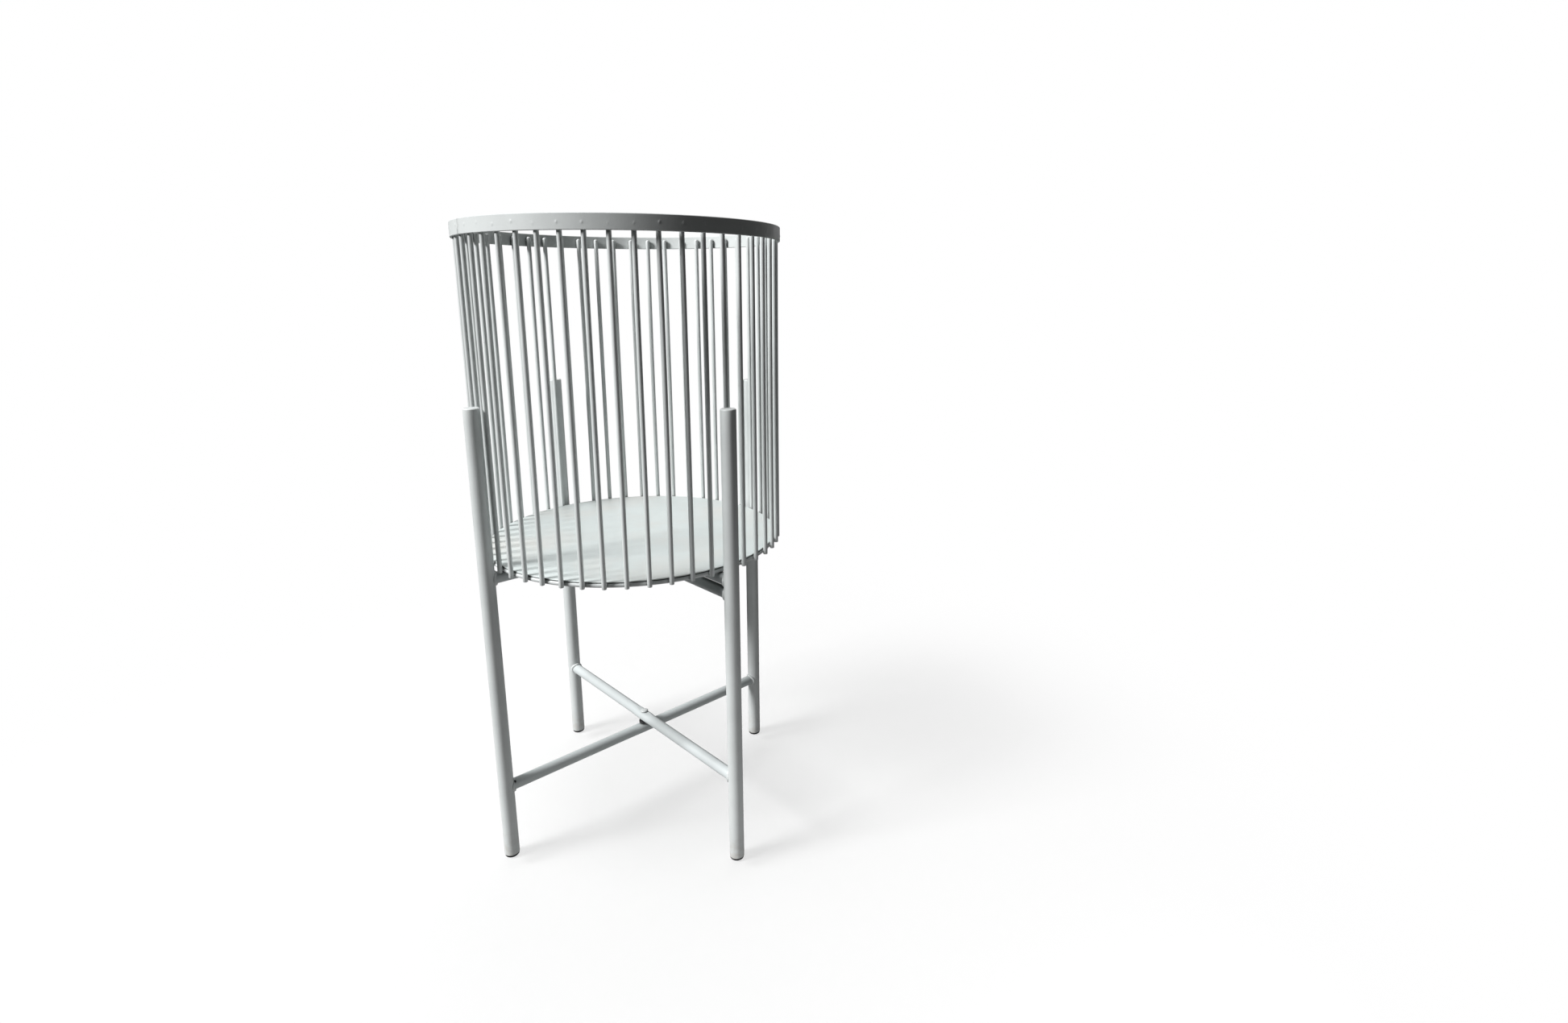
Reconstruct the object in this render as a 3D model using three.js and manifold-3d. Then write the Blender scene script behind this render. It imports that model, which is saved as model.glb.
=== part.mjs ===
// A wire basket plant stand: a round steel-wire basket that drops between the four legs of a folding
// stand. The stand is two welded frames that cross under the basket and turn about one upright axis, so
// that it folds flat. Millimetres, +Z up. The origin is on the floor, on the axis of the basket and of the
// fold, and the legs stand at the corners of a square whose sides lie along X and Y.
import * as THREE from "three";
import { mergeVertices } from "three/addons/utils/BufferGeometryUtils.js";
import Module from "manifold-3d";

const wasm = await Module();
wasm.setup();

// Driving dimensions.
const RIM_RADIUS = 140; // outside of the rim band
const RIM_TOP = 555;
const BAND_HEIGHT = 12;
const BAND_THICKNESS = 2;
const WIRE_DIAMETER = 4;
const WIRE_COUNT = 48;
const WIRE_PHASE = 2.2; // degrees from the direction of a leg to the first wire
const WIRE_BELOW_RIM = 3; // from the top of the band down to the top of a wire
const KEY_WIRE_STEP = 4; // every fourth wire is joined to the foot ring
const FLOOR_THICKNESS = 1;
const LEG_DIAMETER = 13;
const LEG_WALL = 1;
const LEG_TOP = 410;
const LEG_CAP = 1.5; // thickness of a leg's closed top
const LEG_EDGE = 0.8; // bevel round a leg's top
const BAR_DIAMETER = 10;
const BAR_WALL = 1;
const LOWER_BAR = 68.4; // height of the outer frame's lower bar
const UPPER_BAR = 264.5; // height of the outer frame's upper bar, which the basket stands on
const SPACER_ROOM = 2; // between two crossing bars
const STUB_LENGTH = 34; // of a rest stub, from its leg inwards
const BOLT_DIAMETER = 5;
const BOLT_HEAD_DIAMETER = 8;
const BOLT_HEAD_HEIGHT = 2;
const BOLT_PAST_INSERT = 1.5; // of the bolt's end, inside the lower bar
const INSERT_DIAMETER = 7; // of the threaded insert's body, which is set in the lower bar
const INSERT_REACH = 6.3; // of its body, from under its flange
const INSERT_FLANGE_DIAMETER = 10;
const INSERT_FLANGE_THICKNESS = 0.5;
const SPACER_DIAMETER = 12;
const FOOT_FLANGE = 2.2; // thickness of the flange that shows under a leg
const FOOT_CHAMFER = 0.9;
const FOOT_STEM_TOP = 16; // height that the foot's plug reaches up the leg
const WELD_RADIUS = 1; // of the joint between a key wire and the foot ring
const GAP = 0.3; // between pieces that touch
const LEG_CLEARANCE = 0.8; // between the wires and the legs that they slide past
const FLOOR_CLEARANCE = 0.7; // between the floor disc and the wires round it

// Places that follow from them.
const WIRE_RADIUS = WIRE_DIAMETER / 2;
const BAR_RADIUS = BAR_DIAMETER / 2;
const LEG_RADIUS = LEG_DIAMETER / 2;
const BOLT_RADIUS = BOLT_DIAMETER / 2;
const INSERT_RADIUS = INSERT_DIAMETER / 2;
const WIRE_CIRCLE = RIM_RADIUS - BAND_THICKNESS - GAP - WIRE_RADIUS;
const RING_CIRCLE = WIRE_CIRCLE - WIRE_DIAMETER - GAP;
const FLOOR_RADIUS = WIRE_CIRCLE - WIRE_RADIUS - FLOOR_CLEARANCE;
const LEG_CIRCLE = WIRE_CIRCLE + WIRE_RADIUS + LEG_CLEARANCE + LEG_RADIUS;
const LEG_BOTTOM = FOOT_FLANGE + GAP;
const BASKET_BOTTOM = UPPER_BAR + BAR_RADIUS + GAP;
const FLOOR_BOTTOM = BASKET_BOTTOM + WIRE_DIAMETER + GAP;
const BAR_STEP = BAR_DIAMETER + SPACER_ROOM; // between the heights of two crossing bars
const OUTER_ANGLE = 45; // degrees, the outer frame's direction; the inner frame stands square to it
const INNER_ANGLE = 135;

// Facets round each kind of shape.
const TUBE_SIDES = 24;
const WIRE_SIDES = 12;
const RIM_SIDES = 96;

const paint = { color: 0xd9dedd, roughness: 0.45, metalness: 0 };
const materials = {
  coatedTube: new THREE.MeshStandardMaterial(paint),
  coatedWire: new THREE.MeshStandardMaterial(paint),
  coatedSheet: new THREE.MeshStandardMaterial({ ...paint, roughness: 0.4 }),
  coatedFastener: new THREE.MeshStandardMaterial({ ...paint, roughness: 0.4 }),
  blackPlastic: new THREE.MeshStandardMaterial({ color: 0x1a1a1b, roughness: 0.6, metalness: 0 }),
};

// A closed geometry as a solid that can be cut and joined.
function solid(geometry) {
  const bare = geometry.clone();
  bare.deleteAttribute("normal");
  bare.deleteAttribute("uv");
  const merged = mergeVertices(bare, 1e-3);
  return new wasm.Manifold(
    new wasm.Mesh({
      numProp: 3,
      vertProperties: merged.attributes.position.array,
      triVerts: new Uint32Array(merged.index.array),
    }),
  );
}

// A cut or joined solid as a geometry.
function geometryOf(made) {
  const mesh = made.getMesh();
  const geometry = new THREE.BufferGeometry();
  geometry.setAttribute("position", new THREE.BufferAttribute(mesh.vertProperties, 3));
  geometry.setIndex(new THREE.BufferAttribute(mesh.triVerts, 1));
  geometry.computeVertexNormals();
  return geometry;
}

function cut(body, ...tools) {
  return tools.reduce((left, tool) => left.subtract(tool), body);
}

function piece(name, geometry, material) {
  const mesh = new THREE.Mesh(geometry, material);
  mesh.name = name;
  return mesh;
}

// A profile of [radius, height] points turned about Z. On the outside of the solid it runs upwards.
function turned(profile, sides) {
  const points = profile.map(([radius, height]) => new THREE.Vector2(radius, height));
  return new THREE.LatheGeometry(points, sides).rotateX(Math.PI / 2);
}

// A round bar along Z, from one height to another.
function upright(radius, low, high, sides = TUBE_SIDES) {
  const bar = new THREE.CylinderGeometry(radius, radius, high - low, sides);
  return bar.rotateX(Math.PI / 2).translate(0, 0, (low + high) / 2);
}

// A round bar along X, from one place to another, at a height.
function level(radius, from, to, height) {
  const bar = new THREE.CylinderGeometry(radius, radius, to - from, TUBE_SIDES);
  return bar.rotateZ(Math.PI / 2).translate((from + to) / 2, 0, height);
}

// A tube along X, coped round the leg at each end that reaches one.
function levelTube(from, to, height, ...tools) {
  const bore = level(BAR_RADIUS - BAR_WALL, from - 1, to + 1, height);
  const legs = [-LEG_CIRCLE, LEG_CIRCLE].map((x) =>
    solid(upright(LEG_RADIUS + GAP, height - BAR_DIAMETER, height + BAR_DIAMETER).translate(x, 0, 0)),
  );
  return cut(solid(level(BAR_RADIUS, from, to, height)), solid(bore), ...legs, ...tools);
}

// A leg: a tube that is closed at its top, with a bevelled edge there, and open below for its foot.
function legGeometry() {
  const inside = LEG_RADIUS - LEG_WALL;
  return turned(
    [
      [0, LEG_TOP - LEG_CAP],
      [inside, LEG_TOP - LEG_CAP],
      [inside, LEG_BOTTOM],
      [LEG_RADIUS, LEG_BOTTOM],
      [LEG_RADIUS, LEG_TOP - LEG_EDGE],
      [LEG_RADIUS - LEG_EDGE, LEG_TOP],
      [0, LEG_TOP],
    ],
    TUBE_SIDES,
  );
}

// A foot: a plastic plug whose flange shows under the leg.
function footGeometry() {
  const flange = LEG_RADIUS - GAP;
  const stem = LEG_RADIUS - LEG_WALL - GAP;
  return turned(
    [
      [0, 0],
      [flange - FOOT_CHAMFER, 0],
      [flange, FOOT_CHAMFER],
      [flange, FOOT_FLANGE],
      [stem, FOOT_FLANGE],
      [stem, FOOT_STEM_TOP - FOOT_CHAMFER],
      [stem - FOOT_CHAMFER, FOOT_STEM_TOP],
      [0, FOOT_STEM_TOP],
    ],
    TUBE_SIDES,
  );
}

// A bar that crosses the stand from leg to leg, with a hole right through its middle for the pivot bolt.
function higherBar(height) {
  const hole = upright(BOLT_RADIUS + GAP, height - BAR_DIAMETER, height + BAR_DIAMETER);
  return geometryOf(levelTube(-LEG_CIRCLE, LEG_CIRCLE, height, solid(hole)));
}

// The bar that passes under it, with a hole in the top of its wall only, for the threaded insert.
function lowerBar(height) {
  const hole = upright(INSERT_RADIUS + GAP, height, height + BAR_DIAMETER);
  return geometryOf(levelTube(-LEG_CIRCLE, LEG_CIRCLE, height, solid(hole)));
}

// A short tube that stands in for the higher bar at the inner frame's legs, so that the basket sits level.
function restStub() {
  const inner = LEG_CIRCLE - LEG_RADIUS - STUB_LENGTH;
  return geometryOf(levelTube(inner, LEG_CIRCLE, UPPER_BAR));
}

// One pair of legs with its feet and rest stubs, along X.
function legPair(names, stubs) {
  const frame = new THREE.Group();
  names.forEach((corner, i) => {
    const side = new THREE.Group();
    side.rotation.z = i * Math.PI;
    const leg = piece("leg_" + corner, legGeometry(), materials.coatedTube);
    const foot = piece("foot_" + corner, footGeometry(), materials.blackPlastic);
    leg.position.x = LEG_CIRCLE;
    foot.position.x = LEG_CIRCLE;
    side.add(leg, foot);
    if (stubs) side.add(piece("rest_stub_" + corner, restStub(), materials.coatedTube));
    frame.add(side);
  });
  return frame;
}

// A pan-head bolt whose head rests on the higher bar, with its shank down into the lower bar's insert.
function boltGeometry(higher) {
  const seat = higher + BAR_RADIUS + GAP;
  const headRadius = BOLT_HEAD_DIAMETER / 2;
  const shankEnd = insertTop(higher - BAR_STEP) - INSERT_FLANGE_THICKNESS - INSERT_REACH - BOLT_PAST_INSERT;
  return turned(
    [
      [0, shankEnd],
      [BOLT_RADIUS, shankEnd],
      [BOLT_RADIUS, seat],
      [headRadius, seat],
      [headRadius, seat + BOLT_HEAD_HEIGHT / 2],
      [headRadius * 0.75, seat + BOLT_HEAD_HEIGHT * 0.9],
      [0, seat + BOLT_HEAD_HEIGHT],
    ],
    TUBE_SIDES,
  );
}

// The height of the upper face of the insert that is set in a lower bar.
function insertTop(lower) {
  return lower + BAR_RADIUS + GAP + INSERT_FLANGE_THICKNESS;
}

// A threaded insert: a sleeve set in the lower bar, with a thin flange on top of the bar.
function insertGeometry(lower) {
  const inside = BOLT_RADIUS + GAP;
  const top = insertTop(lower);
  const underFlange = top - INSERT_FLANGE_THICKNESS;
  const bottom = underFlange - INSERT_REACH;
  return turned(
    [
      [inside, top],
      [inside, bottom],
      [INSERT_RADIUS, bottom],
      [INSERT_RADIUS, underFlange],
      [INSERT_FLANGE_DIAMETER / 2, underFlange],
      [INSERT_FLANGE_DIAMETER / 2, top],
      [inside, top],
    ],
    TUBE_SIDES,
  );
}

// A flat washer that keeps the bars apart, between the insert's flange and the higher bar.
function spacerGeometry(lower) {
  const inside = BOLT_RADIUS + GAP;
  const bottom = insertTop(lower) + GAP;
  const top = lower + BAR_STEP - BAR_RADIUS - GAP;
  return turned(
    [
      [inside, top],
      [inside, bottom],
      [SPACER_DIAMETER / 2, bottom],
      [SPACER_DIAMETER / 2, top],
      [inside, top],
    ],
    TUBE_SIDES,
  );
}

// The bolt, insert and spacer of one pair of crossing bars.
function pivot(name, lower) {
  const group = new THREE.Group();
  group.add(
    piece(name + "_bolt", boltGeometry(lower + BAR_STEP), materials.coatedFastener),
    piece(name + "_insert", insertGeometry(lower), materials.coatedFastener),
    piece(name + "_spacer", spacerGeometry(lower), materials.blackPlastic),
  );
  return group;
}

// The flat strip that is rolled into the basket's rim.
function rimBand() {
  const inside = RIM_RADIUS - BAND_THICKNESS;
  const low = RIM_TOP - BAND_HEIGHT;
  return turned(
    [
      [inside, RIM_TOP],
      [inside, low],
      [RIM_RADIUS, low],
      [RIM_RADIUS, RIM_TOP],
      [inside, RIM_TOP],
    ],
    RIM_SIDES,
  );
}

// One wire of the basket, where it stands at an angle in degrees.
function wireGeometry(degrees) {
  const wire = upright(WIRE_RADIUS, BASKET_BOTTOM, RIM_TOP - WIRE_BELOW_RIM, WIRE_SIDES);
  return wire.translate(WIRE_CIRCLE, 0, 0).rotateZ(THREE.MathUtils.degToRad(degrees));
}

// The weld that holds a key wire to the foot ring.
function weldGeometry(degrees) {
  const reach = WIRE_CIRCLE - RING_CIRCLE;
  const weld = new THREE.CylinderGeometry(WELD_RADIUS, WELD_RADIUS, reach, WIRE_SIDES);
  return weld
    .rotateZ(Math.PI / 2)
    .translate((WIRE_CIRCLE + RING_CIRCLE) / 2, 0, BASKET_BOTTOM + WIRE_RADIUS)
    .rotateZ(THREE.MathUtils.degToRad(degrees));
}

const wireAngles = Array.from(
  { length: WIRE_COUNT },
  (_, i) => OUTER_ANGLE + WIRE_PHASE + (i * 360) / WIRE_COUNT,
);
const isKeyWire = (i) => i % KEY_WIRE_STEP === 0;

// The ring that the basket stands on, with the key wires that are welded to it.
function ringAndKeyWires() {
  const ring = new THREE.TorusGeometry(RING_CIRCLE, WIRE_RADIUS, WIRE_SIDES, RIM_SIDES);
  let joined = solid(ring.translate(0, 0, BASKET_BOTTOM + WIRE_RADIUS));
  for (const degrees of wireAngles.filter((_, i) => isKeyWire(i))) {
    joined = joined.add(solid(weldGeometry(degrees))).add(solid(wireGeometry(degrees)));
  }
  return geometryOf(joined);
}

function basket() {
  const group = new THREE.Group();
  const disc = upright(FLOOR_RADIUS, FLOOR_BOTTOM, FLOOR_BOTTOM + FLOOR_THICKNESS, RIM_SIDES);
  group.add(
    piece("rim_band", rimBand(), materials.coatedSheet),
    piece("foot_ring_and_key_wires", ringAndKeyWires(), materials.coatedWire),
    piece("floor_disc", disc, materials.coatedSheet),
  );
  wireAngles.forEach((degrees, i) => {
    if (isKeyWire(i)) return;
    const name = "wire_" + String(i + 1).padStart(2, "0");
    group.add(piece(name, wireGeometry(degrees), materials.coatedWire));
  });
  return group;
}

const outerFrame = legPair(["back_right", "front_left"], false);
outerFrame.add(
  piece("outer_lower_bar", lowerBar(LOWER_BAR), materials.coatedTube),
  piece("outer_upper_bar", higherBar(UPPER_BAR), materials.coatedTube),
  pivot("lower_pivot", LOWER_BAR),
);
outerFrame.rotation.z = THREE.MathUtils.degToRad(OUTER_ANGLE);

const innerFrame = legPair(["back_left", "front_right"], true);
innerFrame.add(
  piece("inner_lower_bar", higherBar(LOWER_BAR + BAR_STEP), materials.coatedTube),
  piece("inner_upper_bar", lowerBar(UPPER_BAR - BAR_STEP), materials.coatedTube),
  pivot("upper_pivot", UPPER_BAR - BAR_STEP),
);
innerFrame.rotation.z = THREE.MathUtils.degToRad(INNER_ANGLE);

const plantStand = new THREE.Group();
plantStand.add(outerFrame, innerFrame, basket());

export default plantStand;
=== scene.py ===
import math
import random

import bmesh
import bpy
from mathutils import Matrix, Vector, noise

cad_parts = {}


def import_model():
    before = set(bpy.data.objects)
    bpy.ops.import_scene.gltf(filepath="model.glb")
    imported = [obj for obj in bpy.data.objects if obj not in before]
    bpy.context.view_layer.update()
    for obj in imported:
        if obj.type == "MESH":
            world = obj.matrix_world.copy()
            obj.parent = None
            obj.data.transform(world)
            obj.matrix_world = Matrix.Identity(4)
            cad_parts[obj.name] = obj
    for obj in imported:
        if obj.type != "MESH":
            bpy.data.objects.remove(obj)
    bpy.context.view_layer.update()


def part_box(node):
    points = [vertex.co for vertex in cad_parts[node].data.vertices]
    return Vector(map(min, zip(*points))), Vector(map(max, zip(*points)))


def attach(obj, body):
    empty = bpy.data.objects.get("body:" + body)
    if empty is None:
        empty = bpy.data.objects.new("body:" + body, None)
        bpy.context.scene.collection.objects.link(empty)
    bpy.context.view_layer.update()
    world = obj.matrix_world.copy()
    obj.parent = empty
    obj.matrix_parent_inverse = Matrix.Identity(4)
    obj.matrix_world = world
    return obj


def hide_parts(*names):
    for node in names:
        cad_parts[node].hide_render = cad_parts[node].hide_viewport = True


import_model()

random.seed(7)

MM = 0.001


# ---------------------------------------------------------------- sizes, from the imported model

def middle(node):
    low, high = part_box(node)
    return (low + high) / 2


def height_of(node):
    low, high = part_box(node)
    return high.z - low.z


def bearing(point):
    """The direction of a point from the upright axis, in degrees."""
    return math.degrees(math.atan2(point.y, point.x))


CORNERS = {
    "front_left": "outer_frame",
    "back_right": "outer_frame",
    "front_right": "inner_frame",
    "back_left": "inner_frame",
}
BARS = {
    "outer_lower_bar": ("front_left", "back_right"),
    "outer_upper_bar": ("front_left", "back_right"),
    "inner_lower_bar": ("front_right", "back_left"),
    "inner_upper_bar": ("front_right", "back_left"),
}
STUBS = {"rest_stub_front_right": "front_right", "rest_stub_back_left": "back_left"}
PIVOTS = {
    "lower_pivot": ("inner_lower_bar", "outer_lower_bar", "outer_frame"),
    "upper_pivot": ("outer_upper_bar", "inner_upper_bar", "inner_frame"),
}
KEY_WIRE_STEP = 4  # every fourth wire is one CAD node with the foot ring
WIRE_COUNT = 48

leg_low, leg_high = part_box("leg_front_left")
LEG_RADIUS = (leg_high.x - leg_low.x) / 2
LEG_CIRCLE = middle("leg_front_left").to_2d().length
BAR_RADIUS = height_of("outer_lower_bar") / 2
RIM_LOW, RIM_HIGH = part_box("rim_band")
RIM_RADIUS = RIM_HIGH.x
DISC_LOW, DISC_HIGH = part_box("floor_disc")
WIRE_LOW, WIRE_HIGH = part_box("wire_02")
WIRE_CIRCLE = middle("wire_02").to_2d().length
WIRE_STEP = 360 / WIRE_COUNT  # degrees
FIRST_WIRE = bearing(middle("wire_02")) - WIRE_STEP
RING_HIGH = DISC_LOW.z

BAND_THICKNESS = 2 * MM
WIRE_RADIUS = 2 * MM
TUBE_WALL = 1 * MM
RING_GAP = 0.1 * MM  # between the foot ring and the wires
RING_CIRCLE = WIRE_CIRCLE - 2 * WIRE_RADIUS - RING_GAP
BOLT_RADIUS = 2.5 * MM


# ---------------------------------------------------------------- mesh helpers

def placed(direction, along, across, height):
    """A point by its distance along a level direction in degrees, across it to the left, and its height."""
    turn = math.radians(direction)
    x = along * math.cos(turn) - across * math.sin(turn)
    y = along * math.sin(turn) + across * math.cos(turn)
    return Vector((x, y, height))


def steps(low, high, count):
    """Evenly spaced numbers from low to high, both included."""
    return [low + (high - low) * i / (count - 1) for i in range(count)]


def loft(bm, rings, around=False):
    """Quads between rings of points. The first and last rings join up or are capped."""
    made = [[bm.verts.new(point) for point in ring] for ring in rings]
    pairs = list(zip(made, made[1:]))
    if around:
        pairs.append((made[-1], made[0]))
    for ring, following in pairs:
        for i in range(len(ring)):
            j = (i + 1) % len(ring)
            bm.faces.new((ring[i], ring[j], following[j], following[i]))
    if not around:
        bm.faces.new(list(reversed(made[0])))
        bm.faces.new(made[-1])


def circle(centre, radius, sides):
    """A level ring of points."""
    ring = []
    for i in range(sides):
        angle = 2 * math.pi * i / sides
        ring.append(centre + Vector((radius * math.cos(angle), radius * math.sin(angle), 0)))
    return ring


def turned(bm, centre, profile, sides=64, around=False):
    """A solid of revolution about an upright axis from [radius, height] pairs in millimetres."""
    loft(bm, [circle(centre + Vector((0, 0, z * MM)), r * MM, sides) for r, z in profile], around)


def arc(middle_r, middle_z, radius, start, end, count=5):
    """[radius, height] pairs round a part circle in a profile, from one angle in degrees to another."""
    pairs = []
    for angle in steps(math.radians(start), math.radians(end), count):
        pairs.append((middle_r + radius * math.cos(angle), middle_z + radius * math.sin(angle)))
    return pairs


def lump(bm, centre, size, seed, roughness=0.18):
    """A small uneven bead of weld metal, with its three half sizes."""
    ball = bmesh.ops.create_icosphere(bm, subdivisions=3, radius=1)
    for vert in ball["verts"]:
        swell = 1 + roughness * noise.noise(vert.co * 1.7 + Vector((seed, 0, 0)))
        vert.co = centre + Vector(a * b for a, b in zip(vert.co * swell, size))


def finish_mesh(bm, name, sharp_degrees=38):
    bmesh.ops.recalc_face_normals(bm, faces=bm.faces)
    for face in bm.faces:
        face.smooth = True
    for edge in bm.edges:
        if edge.is_manifold and edge.calc_face_angle() > math.radians(sharp_degrees):
            edge.smooth = False
    mesh = bpy.data.meshes.new(name)
    bm.to_mesh(mesh)
    bm.free()
    return mesh


def add_piece(name, bm, material, body, replaced=()):
    piece = bpy.data.objects.new(name, finish_mesh(bm, name))
    piece.data.materials.append(material)
    bpy.context.scene.collection.objects.link(piece)
    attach(piece, body)
    if replaced:
        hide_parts(*replaced)
    return piece


# ---------------------------------------------------------------- materials

class Paint:
    """A Principled material, with short calls for the nodes that vary it."""

    def __init__(self, name):
        self.material = bpy.data.materials.new(name)
        self.material.use_nodes = True
        self.tree = self.material.node_tree
        self.shader = self.tree.nodes["Principled BSDF"]
        self.place = self.tree.nodes.new("ShaderNodeTexCoord").outputs["Object"]

    def set(self, **values):
        for name, value in values.items():
            self.shader.inputs[name.replace("_", " ")].default_value = value

    def link(self, output, target):
        self.tree.links.new(output, target)

    def stretched(self, x, y, z):
        node = self.tree.nodes.new("ShaderNodeMapping")
        node.inputs["Scale"].default_value = (x, y, z)
        self.link(self.place, node.inputs["Vector"])
        return node.outputs["Vector"]

    def noise(self, scale, detail=2.0, roughness=0.5, vector=None):
        node = self.tree.nodes.new("ShaderNodeTexNoise")
        node.inputs["Scale"].default_value = scale
        node.inputs["Detail"].default_value = detail
        node.inputs["Roughness"].default_value = roughness
        self.link(vector or self.place, node.inputs["Vector"])
        return node.outputs["Fac"]

    def range(self, value, low, high, to_low=0.0, to_high=1.0, smooth=False):
        node = self.tree.nodes.new("ShaderNodeMapRange")
        if smooth:
            node.interpolation_type = "SMOOTHERSTEP"
        limits = {"From Min": low, "From Max": high, "To Min": to_low, "To Max": to_high}
        for name, number in limits.items():
            node.inputs[name].default_value = number
        self.link(value, node.inputs["Value"])
        return node.outputs["Result"]

    def maths(self, operation, first, second):
        node = self.tree.nodes.new("ShaderNodeMath")
        node.operation = operation
        for socket, value in zip(node.inputs, (first, second)):
            if isinstance(value, (int, float)):
                socket.default_value = value
            else:
                self.link(value, socket)
        return node.outputs["Value"]

    def mix(self, share, first, second):
        """A colour between two others. Sockets 6, 7 and 2 are a Mix node's own colour sockets."""
        node = self.tree.nodes.new("ShaderNodeMix")
        node.data_type = "RGBA"
        self.link(share, node.inputs["Factor"])
        for socket, value in ((node.inputs[6], first), (node.inputs[7], second)):
            if isinstance(value, tuple):
                socket.default_value = (*value, 1)
            else:
                self.link(value, socket)
        return node.outputs[2]

    def specks(self, spacing, size, share):
        """1 in a few small round spots: their spacing and size in metres, and how many places have one."""
        node = self.tree.nodes.new("ShaderNodeTexVoronoi")
        node.inputs["Scale"].default_value = 1 / spacing
        self.link(self.place, node.inputs["Vector"])
        spot = self.range(node.outputs["Distance"], 0.7 * size / spacing, size / spacing, 1, 0)
        split = self.tree.nodes.new("ShaderNodeSeparateColor")
        self.link(node.outputs["Color"], split.inputs["Color"])
        chosen = self.maths("GREATER_THAN", split.outputs["Red"], 1 - share)
        return self.maths("MULTIPLY", spot, chosen)

    def edges(self, low, high):
        """1 on worn outer edges, by how sharply the mesh turns."""
        node = self.tree.nodes.new("ShaderNodeNewGeometry")
        return self.range(node.outputs["Pointiness"], low, high)

    def painted_shade_in_crevices(self, reach, strength=0.9):
        """1 where pieces meet closely, out to a reach: painted shade, darkest where the ambient occlusion
        finds the least open space.
        """
        node = self.tree.nodes.new("ShaderNodeAmbientOcclusion")
        node.samples = CREVICE_SAMPLES
        node.inputs["Distance"].default_value = reach
        return self.range(node.outputs["AO"], *CREVICE_SHADE, strength, 0)

    def height(self):
        """The height above the floor."""
        node = self.tree.nodes.new("ShaderNodeSeparateXYZ")
        self.link(self.place, node.inputs["Vector"])
        return node.outputs["Z"]

    def bump(self, layers):
        """Bumps in order, each a (height, depth in metres) pair."""
        normal = None
        for height, depth in layers:
            node = self.tree.nodes.new("ShaderNodeBump")
            node.inputs["Distance"].default_value = depth
            self.link(height, node.inputs["Height"])
            if normal:
                self.link(normal, node.inputs["Normal"])
            normal = node.outputs["Normal"]
        self.link(normal, self.shader.inputs["Normal"])

    def colour(self, output):
        self.link(output, self.shader.inputs["Base Color"])

    def roughness(self, output):
        self.link(output, self.shader.inputs["Roughness"])


CREVICE_SAMPLES = 6
CREVICE_SHADE = (0.35, 0.8)  # the openness below which the painted shade is darkest, and above which there is none

# Colours.
COAT = (0.71, 0.74, 0.735)
# The bars' coat: the same paint as the legs', made darker as painted shade for the bars under the basket.
SHADED_BAR_COAT = (0.64, 0.68, 0.682)
SHEET_COAT = (0.695, 0.755, 0.745)
COAT_WORN = (0.47, 0.485, 0.48)
# Near black: the dark specks in the coat, and the painted shade in the weld's pinholes.
DARK_SPECK_AND_PINHOLE_SHADE = (0.12, 0.115, 0.11)
# Near black: the colour of the painted shade where pieces meet.
PAINTED_SHADE_IN_CREVICES = (0.10, 0.105, 0.105)
DUST = (0.50, 0.47, 0.42)
WATER_MARK = (0.74, 0.735, 0.70)
PLASTIC = (0.013, 0.013, 0.014)
PLASTIC_CLOUD = (0.022, 0.022, 0.023)
PLASTIC_SCUFF = (0.13, 0.125, 0.12)

# How fine each pattern is: a noise scale, so about this many patches to a metre.
WATER_MARK_SCALE = 11
MOTTLE_SCALE = 22
SHEEN_SCALE = 60
DRAWN_SCALE = 60
BLOTCH_SCALE = 120
DUST_SCALE = 180
WORN_SCALE = 300
PEEL_SCALE = 650
GRAIN_SCALE = 3200
WELD_MOTTLE_SCALE = 150
WELD_SHEEN_SCALE = 200
WELD_RIPPLE_SCALE = 420
PLASTIC_CLOUD_SCALE = 200
PLASTIC_SHEEN_SCALE = 350
PLASTIC_SCUFF_SCALE = 700
PLASTIC_GRAIN_SCALE = 2600

# How deep each bump is, and the sizes of the spots.
PEEL_DEPTH = 0.03 * MM
GRAIN_DEPTH = 0.006 * MM
DRAWN_DEPTH = 0.05 * MM
ROLLED_DEPTH = 0.02 * MM
RIPPLE_DEPTH = 0.18 * MM
PINHOLE_DEPTH = 0.3 * MM
PLASTIC_GRAIN_DEPTH = 0.012 * MM
SPECK_SPACING = 5 * MM
SPECK_SIZE = 0.28 * MM
PINHOLE_SPACING = 2.6 * MM
PINHOLE_SIZE = 0.38 * MM
DUST_HEIGHTS = (2 * MM, 30 * MM)  # where the dust on a leg is thickest, and where it ends
SCUFF_HEIGHT = 1.2 * MM  # how far up a glide is scuffed


def darker(colour, share=0.92):
    return tuple(channel * share for channel in colour)


def worn_edge(paint):
    """How thin the paint is on the sharp edges, in patches."""
    patches = paint.range(paint.noise(WORN_SCALE, 3), 0.35, 0.6, 0, 0.8)
    return paint.maths("MULTIPLY", paint.edges(0.56, 0.68), patches)


def dust_on_legs(paint):
    """How much dust lies on a leg: patches that fade with the height above the floor."""
    near_floor = paint.range(paint.height(), *DUST_HEIGHTS, 0.55, 0)
    patches = paint.range(paint.noise(DUST_SCALE, 4, 0.7), 0.4, 0.62)
    return paint.maths("MULTIPLY", near_floor, patches)


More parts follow.
